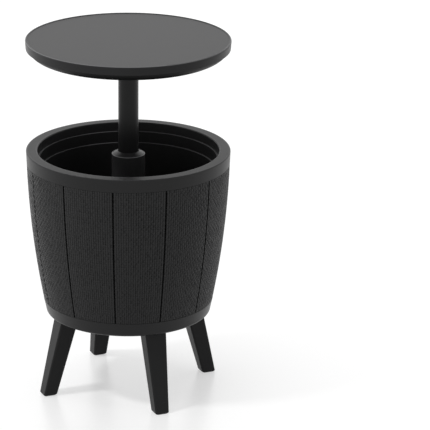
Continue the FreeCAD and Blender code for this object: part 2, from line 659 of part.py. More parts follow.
def make_lock_ring():
    """Cup on the pole's foot with two lugs that turn into the column's slots."""
    body = new_body("lock_ring")
    spin(body, "lock_cup", [
        ("0", LOCK_FOOT),
        (LOCK_RING_R, LOCK_FOOT),
        (LOCK_RING_R, LOCK_TOP),
        (POLE_R, LOCK_TOP),
        (POLE_R, POLE_FOOT),
        ("0", POLE_FOOT),
    ])
    lug = spin(
        body, "lug",
        box_corners(
            f"{LOCK_RING_R} - LockRingWall / 2",
            f"{COLUMN_BORE_R} - RunningGap",
            POLE_FOOT,
            f"{POLE_FOOT} + LugHeight",
        ),
        plane="YZ_Plane", angle="LugAngle",
    )
    repeat(body, "lugs", [lug], 2)
    return body


def make_pole_flange():
    """Ribbed socket inside the lid that holds the pole's top."""
    body = new_body("pole_flange")
    socket_r = f"({POLE_R} + HubSocketWall)"
    plate = f"({HUB_FLOOR} + HubFlangeThickness)"
    spin(body, "socket", [
        (POLE_R, HUB_FLOOR),
        (HUB_FLANGE_R, HUB_FLOOR),
        (HUB_FLANGE_R, plate),
        (socket_r, plate),
        (socket_r, POLE_TOP),
        (POLE_R, POLE_TOP),
    ])
    rib = pad(
        body, "socket_rib",
        lambda sketch: draw_outline(sketch, [
            (f"{socket_r} - HubSocketWall / 2", f"{plate} - HubFlangeThickness / 2"),
            (f"{HUB_FLANGE_R} - HubRibSetback", f"{plate} - HubFlangeThickness / 2"),
            (f"{HUB_FLANGE_R} - HubRibSetback", plate),
            (f"{socket_r} - HubSocketWall / 2", f"{POLE_TOP} - HubRibSetback"),
        ]),
        "0", "HubRibThickness", plane="XZ_Plane", both_ways=True,
    )
    repeat(body, "socket_ribs", [rib], "HubBoltCount")
    hole = pocket(
        body, "hub_hole",
        lambda sketch: draw_circle(sketch, *between_ribs(HUB_BOLT_R, "HubBoltCount"), HOLE_R),
        HUB_FLOOR, "HubFlangeThickness",
    )
    repeat(body, "hub_holes", [hole], "HubBoltCount")
    return body


def between_ribs(radius, count):
    """Place on a circle, halfway from one of its evenly spaced ribs to the next."""
    return f"{radius} * cos(180deg / {count})", f"{radius} * sin(180deg / {count})"


def make_lid_underside():
    """Pan under the table top: curved sloping side, nested in the top's band, and flat floor."""
    body = new_body("lid_underside")
    hole_r = f"({POLE_R} + FitGap)"
    spin(body, "pan", [
        (hole_r, PAN_FOOT),
        (PAN_R, PAN_FOOT, "LidPanBulge"),
        (NEST_R, LID_BAND_FOOT),
        (NEST_R, f"{LID_BAND_FOOT} + LidNestHeight"),
        (f"{NEST_R} - LidWall", f"{LID_BAND_FOOT} + LidNestHeight"),
        (f"{NEST_R} - LidWall", f"{LID_BAND_FOOT} + LidWall / 2"),
        (f"{PAN_R} - LidWall / 2", HUB_FLOOR),
        (hole_r, HUB_FLOOR),
    ])
    edge_hole = pocket(
        body, "edge_hole",
        lambda sketch: draw_circle(sketch, *between_ribs(LID_BOLT_R, "LidBoltCount"), HOLE_R),
        PAN_FOOT, "LidWall",
    )
    repeat(body, "edge_holes", [edge_hole], "LidBoltCount")
    hub_hole = pocket(
        body, "hub_hole",
        lambda sketch: draw_circle(sketch, *between_ribs(HUB_BOLT_R, "HubBoltCount"), HOLE_R),
        PAN_FOOT, "LidWall",
    )
    repeat(body, "hub_holes", [hub_hole], "HubBoltCount")
    return body


def make_table_top():
    """Table top: flat plate with an edge bead and band outside, ribs and screw bosses below."""
    body = new_body("table_top")
    spin(body, "top_plate", [
        ("0", LID_CEILING),
        (f"{LID_R} - LidWall", LID_CEILING),
        (f"{LID_BAND_R} - LidWall", LID_BAND_FOOT),
        (LID_BAND_R, LID_BAND_FOOT),
        (LID_R, f"{LID_TOP} - LidEdgeRound", f"{QUARTER} * LidEdgeRound"),
        (f"{LID_R} - LidEdgeRound", LID_TOP, "LidBeadCrown"),
        (f"{LID_R} - LidBeadWidth", LID_PLATE),
        ("0", LID_PLATE),
    ])
    rib = pad(
        body, "rib",
        lambda sketch: draw_outline(sketch, box_corners(
            HUB_FLANGE_R,
            f"{NEST_R} - LidWall - FitGap",
            f"{LID_CEILING} - LidRibHeight",
            f"{LID_CEILING} + LidWall / 2",
        )),
        "0", "LidRibThickness", plane="XZ_Plane", both_ways=True,
    )
    repeat(body, "ribs", [rib], "LidRibCount")
    spin(body, "round_rib", box_corners(
        f"{LID_RING_R} - LidRibThickness / 2", f"{LID_RING_R} + LidRibThickness / 2",
        f"{LID_CEILING} - LidRibHeight", f"{LID_CEILING} + LidWall / 2",
    ))
    hub_ceiling = f"({HUB_FLOOR} + HubFlangeThickness)"
    add_lid_bosses(body, "edge", LID_BOLT_R, "LidBoltCount", HUB_FLOOR)
    add_lid_bosses(body, "hub", HUB_BOLT_R, "HubBoltCount", hub_ceiling)
    return body


def add_lid_bosses(body, name, radius, count, foot):
    """Screw bosses that hang from the table top's underside down to their seat."""
    place = between_ribs(radius, count)
    boss = pad(
        body, f"{name}_boss", lambda sketch: draw_circle(sketch, *place, BOSS_R),
        foot, f"{LID_CEILING} + LidWall / 2 - {foot}",
    )
    pilot = pocket(
        body, f"{name}_pilot", lambda sketch: draw_circle(sketch, *place, SCREW_R), foot, "BossDepth",
    )
    repeat(body, f"{name}_bosses", [boss, pilot], count)


def rounded(x, depth, width, corner):
    """Corners of a rectangle with rounded corners, centred on the X axis at x."""
    left, right = f"{x} - ({depth}) / 2", f"{x} + ({depth}) / 2"
    low, high = f"-({width}) / 2", f"({width}) / 2"
    rise = f"{QUARTER} * {corner}"
    return [
        (f"{left} + {corner}", low), (f"{right} - {corner}", low, rise),
        (right, f"{low} + {corner}"), (right, f"{high} - {corner}", rise),
        (f"{right} - {corner}", high), (f"{left} + {corner}", high, rise),
        (left, f"{high} - {corner}"), (left, f"{low} + {corner}", rise),
    ]


def leg_section(body, name, height, inset="0", edges_rounded=True):
    """Section of the leg's straight taper at a height, drawn in from its outside by an inset."""
    share = f"(({height}) / {TUB_FLOOR})"
    middle = f"({LEG_FOOT_X} + ({LEG_TOP_X} - {LEG_FOOT_X}) * {share})"
    depth = f"(LegFootDepth + (LegTopDepth - LegFootDepth) * {share} - 2 * ({inset}))"
    width = f"(LegFootWidth + (LegTopWidth - LegFootWidth) * {share} - 2 * ({inset}))"
    sketch = new_sketch(body, name, "XY_Plane", height)
    corners = rounded(middle, depth, width, "LegEdgeRound")
    draw_outline(sketch, corners if edges_rounded else centred(middle, "0", depth, width))
    return sketch


def loft(body, kind, name, sections):
    """Straight loft through sections, added or cut."""
    before = 0 if body.Tip is None else body.Shape.Volume
    feature = body.newObject(f"PartDesign::{kind}Loft", name)
    feature.Profile = sections[0]
    feature.Sections = sections[1:]
    feature.Ruled = True
    return grow(body, feature) if kind == "Additive" else cut(body, feature, before)


def make_leg(label, angle):
    """Splayed leg: hollow, tapering, with a plug and a screw ear at its top."""
    body = new_body(label)
    loft(body, "Additive", "leg_post", [
        leg_section(body, "sole", "0", "SoleChamfer"),
        leg_section(body, "foot", "SoleChamfer"),
        leg_section(body, "shoulder", TUB_FLOOR),
    ])
    add_leg_top(body)
    hollow_leg(body)
    body.Placement = Placement(Vector(0, 0, 0), Rotation(Vector(0, 0, 1), angle))
    return body


def add_leg_top(body):
    """Plug that goes into the tub's socket, and the ear with its screw hole."""
    inner = f"({LEG_TOP_X} - LegTopDepth / 2)"
    pad(
        body, "plug",
        lambda sketch: draw_outline(sketch, centred(LEG_TOP_X, "0", TENON_DEPTH, TENON_WIDTH)),
        f"{TUB_FLOOR} - TenonInset", "TenonHeight + TenonInset",
    )
    pad(
        body, "ear",
        lambda sketch: draw_outline(sketch, [
            (f"{inner} - EarLength + EarRound", "-LegTopWidth / 2"),
            (f"{inner} + TenonInset", "-LegTopWidth / 2"),
            (f"{inner} + TenonInset", "LegTopWidth / 2"),
            (f"{inner} - EarLength + EarRound", "LegTopWidth / 2", f"-{QUARTER} * EarRound"),
            (f"{inner} - EarLength", "LegTopWidth / 2 - EarRound"),
            (f"{inner} - EarLength", "-LegTopWidth / 2 + EarRound", f"-{QUARTER} * EarRound"),
        ]),
        f"{TUB_FLOOR} - EarThickness", "EarThickness",
    )
    pocket(
        body, "ear_hole", lambda sketch: draw_circle(sketch, EAR_SCREW_X, "0", HOLE_R),
        f"{TUB_FLOOR} - EarThickness", "EarThickness",
    )


def hollow_leg(body):
    """Cavity that follows the taper and opens through the plug."""
    loft(body, "Subtractive", "leg_hollow", [
        leg_section(body, "hollow_foot", "SoleThickness", "LegWall", False),
        leg_section(body, "hollow_top", f"({TUB_FLOOR} - EarThickness)", "LegWall + TenonInset", False),
    ])
    pocket(
        body, "plug_mouth",
        lambda sketch: draw_outline(sketch, centred(
            LEG_TOP_X, "0", f"{TENON_DEPTH} - 2 * LegWall", f"{TENON_WIDTH} - 2 * LegWall",
        )),
        f"{TUB_FLOOR} - EarThickness", "TenonHeight + EarThickness",
    )


def make_upright_screws(label, place, head_at, grip, count, head_down=True):
    """Ring of upright screws. The head's seat is at head_at, and the shank is grip long."""
    body = new_body(label)
    x, y = place
    towards_head = "-1" if head_down else "1"
    sketch = new_sketch(body, "screw_outline", "XZ_Plane", f"-({y})")
    draw_outline(sketch, [
        (x, f"{head_at} + {towards_head} * ScrewHeadHeight"),
        (f"{x} + ScrewHeadDiameter / 2", f"{head_at} + {towards_head} * ScrewHeadHeight"),
        (f"{x} + ScrewHeadDiameter / 2", head_at),
        (f"{x} + {SCREW_R}", head_at),
        (f"{x} + {SCREW_R}", f"{head_at} - {towards_head} * ({grip})"),
        (x, f"{head_at} - {towards_head} * ({grip})"),
    ])
    draw_axis(sketch, ("upright", x))
    screw = body.newObject("PartDesign::Revolution", "screw")
    screw.Profile = sketch
    screw.ReferenceAxis = (sketch, ["Axis0"])
    repeat(body, "screws", [grow(body, screw)], count)
    return body


def make_cross_screws(label, height, outside, plane="XZ_Plane"):
    """Two opposite level screws with sunk heads, through a socket wall into the pole."""
    body = new_body(label)
    screw = spin(
        body, "cross_screw",
        [
            (f"{outside} - CrossScrewLength", height),
            (outside, height),
            (outside, f"{height} + {SCREW_R} + CrossScrewHead"),
            (f"{outside} - CrossScrewHead", f"{height} + {SCREW_R}"),
            (f"{outside} - CrossScrewLength", f"{height} + {SCREW_R}"),
        ],
        plane=plane, axis="Axis0", axis_at=("level", height),
    )
    repeat(body, "cross_screws", [screw], 2)
    return body


def sink_cross_screws(body, name, height, outside, plane="XZ_Plane"):
    """Holes and sunk seats for two cross screws, in the wall that they pass."""
    before = body.Shape.Volume
    sketch = new_sketch(body, f"{name}_seat_outline", plane)
    draw_outline(sketch, [
        (f"{outside} - CrossScrewLength", height),
        (f"{outside} + CutMargin", height),
        (f"{outside} + CutMargin", f"{height} + {SCREW_R} + CrossScrewHead + CutMargin"),
        (f"{outside} - CrossScrewHead", f"{height} + {SCREW_R}"),
        (f"{outside} - CrossScrewLength", f"{height} + {SCREW_R}"),
    ])
    draw_axis(sketch, ("level", height))
    seat = body.newObject("PartDesign::Groove", f"{name}_seat")
    seat.Profile = sketch
    seat.ReferenceAxis = (sketch, ["Axis0"])
    cut(body, seat, before)
    repeat(body, f"{name}_seats", [seat], 2)


def make_drain():
    """Drain through both floors: flanged tube, seal, nut, and the plug with its ring."""
    flange_foot = f"({LINER_FLOOR} + DrainGasketThickness)"
    fitting = new_body("drain_fitting")
    spin(fitting, "drain_tube", [
        ("DrainBore / 2", DRAIN_FOOT),
        (DRAIN_TUBE_R, DRAIN_FOOT),
        (DRAIN_TUBE_R, flange_foot),
        ("DrainFlangeDiameter / 2", flange_foot),
        ("DrainFlangeDiameter / 2 - DrainFlangeThickness / 2", f"{flange_foot} + DrainFlangeThickness"),
        ("DrainBore / 2", f"{flange_foot} + DrainFlangeThickness"),
    ])
    gasket = new_body("drain_gasket")
    spin(gasket, "seal", box_corners(DRAIN_TUBE_R, "DrainFlangeDiameter / 2", LINER_FLOOR, flange_foot))
    nut = new_body("drain_nut")
    half = "(DrainNutWidth / 2)"
    side = "(DrainNutWidth / 2 / sqrt(3))"
    hexagon = [
        (half, f"-{side}"), (half, side), ("0", f"2 * {side}"),
        (f"-{half}", side), (f"-{half}", f"-{side}"), ("0", f"-2 * {side}"),
    ]

    def draw_nut(sketch):
        draw_outline(sketch, hexagon)
        draw_circle(sketch, "0", "0", DRAIN_TUBE_R)

    pad(nut, "nut", draw_nut, f"{TUB_FLOOR} - DrainNutHeight", "DrainNutHeight")
    pieces = [fitting, gasket, nut] + make_drain_plug()
    for body in pieces:
        body.setExpression("Placement.Base.x", formula("DrainOffset"))
        body.setExpression("Placement.Base.y", formula("DrainOffset"))
    return pieces


def make_drain_plug():
    """Push-in plug under the drain, and the flat ring on its cap."""
    seal_foot = f"({DRAIN_FOOT} - PlugSealGap - PlugSealThickness)"
    stem_r = "(DrainBore / 2 - RunningGap)"
    plug = new_body("drain_plug")
    spin(plug, "plug_stem", [
        ("0", f"{seal_foot} - PlugCapThickness"),
        ("PlugCapDiameter / 2", f"{seal_foot} - PlugCapThickness"),
        ("PlugCapDiameter / 2", seal_foot),
        (stem_r, seal_foot),
        (stem_r, f"{DRAIN_FOOT} + PlugStemLength - PlugTipChamfer"),
        (f"{stem_r} - PlugTipChamfer", f"{DRAIN_FOOT} + PlugStemLength"),
        ("0", f"{DRAIN_FOOT} + PlugStemLength"),
    ])
    pad(
        plug, "grip",
        lambda sketch: draw_outline(sketch, centred(
            "0", "0", "PlugCapDiameter - PlugCapThickness", "PlugGripThickness",
        )),
        f"{seal_foot} - PlugCapThickness - PlugGripHeight", "PlugGripHeight + PlugCapThickness / 2",
    )
    seal = new_body("drain_plug_seal")
    spin(seal, "plug_ring", box_corners(
        stem_r, f"{DRAIN_TUBE_R} + PlugSealThickness / 2", seal_foot, f"{seal_foot} + PlugSealThickness",
    ))
    return [plug, seal]


def make_all():
    """Build every sub-part and return the bodies, one for each node."""
    tub = [make_outer_shell(), make_inner_liner()]
    column = [make_column_tube(), make_column_gasket(), make_column_collar()]
    column.append(make_upright_screws(
        "column_screws", (COLUMN_BOLT_R, "0"),
        f"{COLUMN_FOOT} + ColumnFlangeThickness",
        "ColumnFlangeThickness + ColumnGasketThickness + LinerWall + BossDepth",
        "ColumnBoltCount", head_down=False,
    ))
    legs = [make_leg(label, angle) for label, angle in LEGS.items()]
    legs.append(make_upright_screws(
        "leg_screws", (EAR_SCREW_X, "0"), f"{TUB_FLOOR} - EarThickness",
        "EarThickness + BossDepth", len(LEGS),
    ))
    lock_ring = make_lock_ring()
    pole_tube = make_pole_tube()
    pole_flange = make_pole_flange()
    lock_height = f"({POLE_FOOT} + LugHeight / 2)"
    hub_height = f"({POLE_TOP} - HubSocketHeight / 4)"
    hub_outside = f"({POLE_R} + HubSocketWall)"
    sink_cross_screws(lock_ring, "lock", lock_height, LOCK_RING_R)
    sink_cross_screws(pole_tube, "lock", lock_height, LOCK_RING_R)
    sink_cross_screws(pole_tube, "hub", hub_height, hub_outside, "YZ_Plane")
    sink_cross_screws(pole_flange, "hub", hub_height, hub_outside, "YZ_Plane")
    moving = [
        make_pole_guide(), make_guide_clip(), lock_ring, pole_tube, pole_flange,
        make_cross_screws("lock_ring_screws", lock_height, LOCK_RING_R),
        make_cross_screws("pole_flange_screws", hub_height, hub_outside, "YZ_Plane"),
        make_lid_underside(), make_table_top(),
        make_upright_screws(
            "hub_screws", between_ribs(HUB_BOLT_R, "HubBoltCount"),
            PAN_FOOT, "LidWall + HubFlangeThickness + BossDepth", "HubBoltCount",
        ),
        make_upright_screws(
            "lid_screws", between_ribs(LID_BOLT_R, "LidBoltCount"),
            PAN_FOOT, "LidWall + BossDepth", "LidBoltCount",
        ),
    ]
    return tub + column + legs + moving + make_drain()


def check(bodies):
    """Stop on any failed feature or bad solid."""
    doc.recompute()
    for item in doc.Objects:
        if "Invalid" in item.State or "Error" in item.State:
            raise RuntimeError(f"{item.Label} failed: {item.State}")
    for body in bodies:
        if body.Shape.isNull() or not body.Shape.isValid() or not body.Shape.Solids:
            raise RuntimeError(f"{body.Label} is not a valid solid")


fill_sheet()
nodes = make_all()
check(nodes)
os.makedirs("parts", exist_ok=True)
for node in nodes:
    node.Shape.exportStep(f"parts/{node.Label}.step")
    print(node.Label, len(node.Shape.Solids), round(node.Shape.Volume / 1000, 1), "cm3")
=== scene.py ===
import json
import math

import bmesh
import bpy
from mathutils import Matrix, Vector, noise


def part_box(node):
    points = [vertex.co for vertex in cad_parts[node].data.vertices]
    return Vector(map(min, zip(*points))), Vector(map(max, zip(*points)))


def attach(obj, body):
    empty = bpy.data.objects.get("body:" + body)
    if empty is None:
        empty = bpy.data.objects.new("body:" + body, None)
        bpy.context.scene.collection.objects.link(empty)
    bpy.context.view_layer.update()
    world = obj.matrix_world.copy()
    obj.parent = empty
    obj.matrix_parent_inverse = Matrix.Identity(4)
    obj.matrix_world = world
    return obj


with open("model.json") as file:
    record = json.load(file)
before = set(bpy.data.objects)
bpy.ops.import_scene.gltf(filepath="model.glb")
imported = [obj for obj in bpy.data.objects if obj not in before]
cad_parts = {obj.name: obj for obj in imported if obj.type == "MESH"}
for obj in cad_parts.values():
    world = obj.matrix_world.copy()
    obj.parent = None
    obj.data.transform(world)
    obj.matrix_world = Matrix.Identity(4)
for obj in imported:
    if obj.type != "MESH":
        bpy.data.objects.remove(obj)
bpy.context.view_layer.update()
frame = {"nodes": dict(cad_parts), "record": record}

MM = 0.001

# Places read from the frame
TUB_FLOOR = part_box("outer_shell")[0].z
RIM_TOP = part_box("inner_liner")[1].z
RIM_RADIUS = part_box("inner_liner")[1].x
LID_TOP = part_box("table_top")[1].z
LID_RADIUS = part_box("table_top")[1].x

# Tub's side, as in the solid: the woven field curves between the base band and the rim band
BASE_BAND_TOP = TUB_FLOOR + 35 * MM
FIELD_FOOT_RADIUS = 202.5 * MM
BAND_FOOT = RIM_TOP - 31 * MM
FIELD_TOP = BAND_FOOT - 0.6 * MM
FIELD_TOP_RADIUS = RIM_RADIUS - 2.2 * MM
FIELD_BULGE = 6.8 * MM
PANELS = 12
GROOVE_ANGLE = math.radians(0.8)
GROOVE_FLOOR = -1.85 * MM

# Painted shade of the grooves: a dark sheet on their floors
SHADE_SHEET_STEPS = 24
SHADE_SHEET_SHARE = 0.94
SHADE_SHEET_END = 0.2 * MM

# Weave of one panel: how many stakes stand in it, how many rows cross them, and how finely each is cut
STAKES = 21
ROWS = 54
CELL_STEPS = 4
WEAVE_FOOT = BASE_BAND_TOP + 0.2 * MM
WEAVE_TOP = BAND_FOOT - 0.1 * MM
WEAVE_LIFT = 0.52 * MM
WEAVE_SKIRT = 1.2 * MM
JUST_INSIDE = 1e-6

# Its strands: how far they swing over and under, how round they are, and how they differ
STRAND_SWING = 0.45 * MM
STAKE_CROWN = 1.2 * MM
WEFT_CROWN = 0.25 * MM
CROWN_SPREAD = 1.9
STRAND_VARIATION = 0.15 * MM
STRAND_LEAN = 0.6 * MM
LEAN_VARIATION = 0.6
WEFT_GLOSS = 0.7
GLOSS_VARIATION = 0.3

# Gaps beside its stakes, which pinch and widen on the way up
GAP_DEPTH = 0.7 * MM
GAP_START = 0.45
GAP_CURVE = 1.5
GAP_PINCH = 0.8
PINCH_STEPS = (5.1, 0.8, 3.7)

# Finish of the weave, with painted shade darkening its hollows
WEAVE_SHADE = 0.032
PAINTED_HOLLOW_SHADE = 0.015
HOLLOW_DULLNESS = 0.45
GLOSS_CHANGE = 0.24
FIBRES = 4.0
FIBRE_HEIGHT = 0.5
GRAIN_HEIGHT = 0.6

# Painted highlights, paler colour along edges: the liner's two ledges, and level round edges
LEDGES = (RIM_TOP - 22 * MM, RIM_TOP - 49 * MM)
LEDGE_HIGHLIGHT_REACH = 0.8 * MM
INSIDE_MOUTH = RIM_RADIUS - 10 * MM
MOUTH_EDGE = {"Radius": 218.2 * MM, "Height": RIM_TOP, "Width": 2.5 * MM}
RIM_EDGE = {"Radius": RIM_RADIUS - 2.6 * MM, "Height": RIM_TOP - 0.2 * MM, "Width": 2.5 * MM}
COLLAR_EDGE = {"Radius": 39 * MM, "Height": RIM_TOP - 10.5 * MM, "Width": 1.3 * MM}
LID_EDGE = {"Radius": LID_RADIUS - 1.3 * MM, "Height": LID_TOP - 0.35 * MM, "Width": 1.6 * MM}

# Moulded resin: blue against red and green, darkest tone, gloss of its specks, and scuffs against plain
COOLNESS = 1.03
DARKEST_TONE = 0.8
SPECK_GLOSS = 0.08
SCUFF_GAIN = 2.2
SCUFF_PALE = 0.01
SCUFF_DULLNESS = 0.2

# Zinc plating, and how much its cloudiness takes from its gloss
PLATING_ROUGHNESS = 0.22
PLATING_CLOUD = 0.2

# Smoothing of the CAD nodes
WELD_REACH = 0.005 * MM
SHARP_ANGLE = math.radians(26)

# Camera, as the photograph was taken
CAMERA_DISTANCE = 6.742
CAMERA_HEIGHT = 2.726
CAMERA_TURN = math.radians(-21.414)
CAMERA_DIP = math.radians(18.814)
CAMERA_YAW = math.radians(1.665)
CAMERA_LENS = 249.49

# Soft lamps by name: place, which turns with the camera, width, height and radiance
SOFTBOXES = {
    "overhead_softbox": ((0.0, 0.6, 3.4), 3.0, 3.0, 0.55),
    "left_softbox": ((-3.4, 0.6, 1.5), 3.0, 2.6, 1.1),
    "right_softbox": ((3.0, 2.2, 1.5), 3.0, 2.6, 0.9),
    "back_softbox": ((-1.3, 4.0, 1.6), 4.5, 2.6, 1.0),
}
LAMP_AIM = Vector((0, 0, 0.4))

# Sun: the way to it, which turns with the camera, its breadth and its strength
SUN_SIDE = Vector((-0.56, -0.2, 0.9))
SUN_BREADTH = math.radians(8)
SUN_STRENGTH = 1.4

# Even light of the world, where its white isn't seen
DIM_WORLD = 0.35

# Floor: the share of its white that takes shadow halves with each step of the fade away from the object
FLOOR_RADIUS = 14.0
FLOOR_ROUGHNESS = 0.28
FADE_START = 0.15
SHADOW_FADE = 0.19
NEAR_PALE = 0.51
FLOOR_WHITE = 0.9
FLOOR_LIGHT = 0.85
FLOOR_BOUNCE = (0.15, 0.15, 0.15, 1)


def new_group(name, inputs, outputs):
    """Empty shader group with named sockets, and its input and output nodes."""
    group = bpy.data.node_groups.new(name, "ShaderNodeTree")
    for label, kind, start in inputs:
        socket = group.interface.new_socket(name=label, in_out="INPUT", socket_type=kind)
        socket.default_value = start
    for label, kind in outputs:
        group.interface.new_socket(name=label, in_out="OUTPUT", socket_type=kind)
    return group, group.nodes.new("NodeGroupInput"), group.nodes.new("NodeGroupOutput")


def place_group(tree, group, **starts):
    """Group node with its named inputs set."""
    node = tree.nodes.new("ShaderNodeGroup")
    node.node_tree = group
    for label, start in starts.items():
        node.inputs[label].default_value = start
    return node


def feed_socket(tree, socket, feed):
    """Give an input a number or colour of its own, or link it to another node's output."""
    if isinstance(feed, bpy.types.NodeSocket):
        tree.links.new(feed, socket)
    else:
        socket.default_value = feed


def math_node(tree, operation, *feeds, clamp=False):
    """Math node fed by outputs or numbers. Returns its output."""
    node = tree.nodes.new("ShaderNodeMath")
    node.operation = operation
    node.use_clamp = clamp
    for socket, feed in zip(node.inputs, feeds):
        feed_socket(tree, socket, feed)
    return node.outputs[0]


def scaled_above(tree, value, start, gain, clamp=True):
    """How far a value lies above a start, times a gain, kept between nought and one unless clamp is off."""
    return math_node(tree, "MULTIPLY", math_node(tree, "SUBTRACT", value, start), gain, clamp=clamp)


def distance_across(tree, first, second):
    """Straight distance across two sides at right angles."""
    squares = [math_node(tree, "MULTIPLY", side, side) for side in (first, second)]
    return math_node(tree, "SQRT", math_node(tree, "ADD", *squares))


def noise_node(tree, vector, scale, detail=2.0, roughness=0.5):
    """Noise texture on a vector."""
    node = tree.nodes.new("ShaderNodeTexNoise")
    for label, feed in (("Vector", vector), ("Scale", scale), ("Detail", detail), ("Roughness", roughness)):
        feed_socket(tree, node.inputs[label], feed)
    return node.outputs["Fac"]


def mix_colour(tree, mask, first, second):
    """Blend of two colours by a mask."""
    node = tree.nodes.new("ShaderNodeMix")
    node.data_type = "RGBA"
    for label, feed in (("Factor", mask), ("A", first), ("B", second)):
        feed_socket(tree, node.inputs[label], feed)
    return node.outputs["Result"]


def read_attribute(tree, name):
    """Value of a piece's own attribute."""
    node = tree.nodes.new("ShaderNodeAttribute")
    node.attribute_name = name
    return node.outputs["Fac"]


def coordinates(tree, kind="Object"):
    """Object coordinates, or the piece's own UV map."""
    return tree.nodes.new("ShaderNodeTexCoord").outputs[kind]


def split_vector(tree, vector):
    """The three sides of a vector."""
    node = tree.nodes.new("ShaderNodeSeparateXYZ")
    tree.links.new(vector, node.inputs["Vector"])
    return node.outputs


def around_axis(tree):
    """Distance from the object's upright axis, and height."""
    across, along, height = split_vector(tree, coordinates(tree))
    return distance_across(tree, across, along), height


def cool_grey(shade):
    """Grey with a trace of blue, as a colour."""
    return (shade, shade, shade * COOLNESS, 1)


def build_moulded_grain():
    """Fine grain of moulded resin, with slow changes of tone and gloss."""
    group, given, result = new_group(
        "moulded_grain",
        [
            ("Colour", "NodeSocketColor", (0.02, 0.02, 0.02, 1)),
            ("Grain", "NodeSocketFloat", 1400.0),
            ("Roughness", "NodeSocketFloat", 0.4),
            ("Unevenness", "NodeSocketFloat", 0.06),
        ],
        [("Colour", "NodeSocketColor"), ("Roughness", "NodeSocketFloat"), ("Height", "NodeSocketFloat")],
    )
    place = coordinates(group)
    fine = noise_node(group, place, given.outputs["Grain"], roughness=0.6)
    slow = noise_node(group, place, scale=9.0, detail=3.0)
    dark = group.nodes.new("ShaderNodeHueSaturation")
    dark.inputs["Value"].default_value = DARKEST_TONE
    group.links.new(given.outputs["Colour"], dark.inputs["Color"])
    tone = mix_colour(group, slow, dark.outputs["Color"], given.outputs["Colour"])
    drift = scaled_above(group, slow, start=0.5, gain=given.outputs["Unevenness"], clamp=False)
    speck = scaled_above(group, fine, start=0.5, gain=SPECK_GLOSS, clamp=False)
    change = math_node(group, "ADD", drift, speck)
    rough = math_node(group, "ADD", given.outputs["Roughness"], change, clamp=True)
    group.links.new(tone, result.inputs["Colour"])
    group.links.new(rough, result.inputs["Roughness"])
    group.links.new(fine, result.inputs["Height"])
    return group


def build_faint_scuffs():
    """Mask of sparse, hair-fine scuffs from handling."""
    group, given, result = new_group(
        "faint_scuffs", [("Spread", "NodeSocketFloat", 0.5)], [("Mask", "NodeSocketFloat")]
    )
    stretch = group.nodes.new("ShaderNodeMapping")
    stretch.inputs["Rotation"].default_value = (0.4, 0.2, 0.7)
    stretch.inputs["Scale"].default_value = (25.0, 900.0, 140.0)
    group.links.new(coordinates(group), stretch.inputs["Vector"])
    hair = noise_node(group, stretch.outputs["Vector"], scale=1.0, detail=3.0)
    where = noise_node(group, coordinates(group), scale=14.0, detail=1.0)
    thin = scaled_above(group, hair, start=0.66, gain=9.0)
    patch = scaled_above(group, where, start=0.5, gain=4.0)
    both = math_node(group, "MULTIPLY", thin, patch)
    group.links.new(math_node(group, "MULTIPLY", both, given.outputs["Spread"]), result.inputs["Mask"])
    return group


def build_round_edge():
    """Mask of a level round edge about the object's axis, which fades out over its width."""
    labels = ("Radius", "Height", "Width")
    group, given, result = new_group(
        "round_edge", [(label, "NodeSocketFloat", 0.1) for label in labels], [("Mask", "NodeSocketFloat")]
    )
    across, height = around_axis(group)
    away = distance_across(
        group,
        math_node(group, "SUBTRACT", across, given.outputs["Radius"]),
        math_node(group, "SUBTRACT", height, given.outputs["Height"]),
    )
    share = math_node(group, "DIVIDE", away, given.outputs["Width"])
    group.links.new(math_node(group, "SUBTRACT", 1.0, share, clamp=True), result.inputs["Mask"])
    return group


GRAIN = build_moulded_grain()
SCUFFS = build_faint_scuffs()
ROUND_EDGE = build_round_edge()


def new_material(name, specular):
    """New material, its node tree and its shader."""
    material = bpy.data.materials.new(name)
    material.use_nodes = True
    shader = material.node_tree.nodes["Principled BSDF"]
    shader.inputs["Specular IOR Level"].default_value = specular
    return material, material.node_tree, shader


def add_bump(tree, shader, height, depth):
    """Bump from a height whose full range is depth metres."""
    bump = tree.nodes.new("ShaderNodeBump")
    bump.inputs["Distance"].default_value = depth
    tree.links.new(height, bump.inputs["Height"])
    tree.links.new(bump.outputs["Normal"], shader.inputs["Normal"])


def moulded(name, shade, rough, specular=0.3, grain=1400.0, depth=0.02 * MM, scuffs=0.5, uneven=0.06):
    """Moulded resin: a shade of black or grey with grain, uneven gloss and faint scuffs."""
    material, tree, shader = new_material(name, specular)
    resin = place_group(
        tree, GRAIN, Colour=cool_grey(shade), Grain=grain, Roughness=rough, Unevenness=uneven
    )
    marks = place_group(tree, SCUFFS, Spread=scuffs).outputs["Mask"]
    tone = mix_colour(tree, marks, resin.outputs["Colour"], cool_grey(shade * SCUFF_GAIN + SCUFF_PALE))
    duller = math_node(tree, "MULTIPLY", marks, SCUFF_DULLNESS)
    dullness = math_node(tree, "ADD", resin.outputs["Roughness"], duller, clamp=True)
    tree.links.new(tone, shader.inputs["Base Color"])
    tree.links.new(dullness, shader.inputs["Roughness"])
    add_bump(tree, shader, resin.outputs["Height"], depth)
    return material


def paint_paler_highlight(material, mask, shade):
    """Paint a highlight: mix a paler shade into a finished material by a mask from its own tree."""
    tree = material.node_tree
    colour = tree.nodes["Principled BSDF"].inputs["Base Color"]
    plain = colour.links[0].from_socket
    tree.links.new(mix_colour(tree, mask, plain, cool_grey(shade)), colour)
    return material


def paint_edge_highlight(material, edge, shade):
    """Paint a highlight: mix a paler shade into a finished material along a level round edge."""
    return paint_paler_highlight(material, place_group(material.node_tree, ROUND_EDGE, **edge).outputs["Mask"], shade)


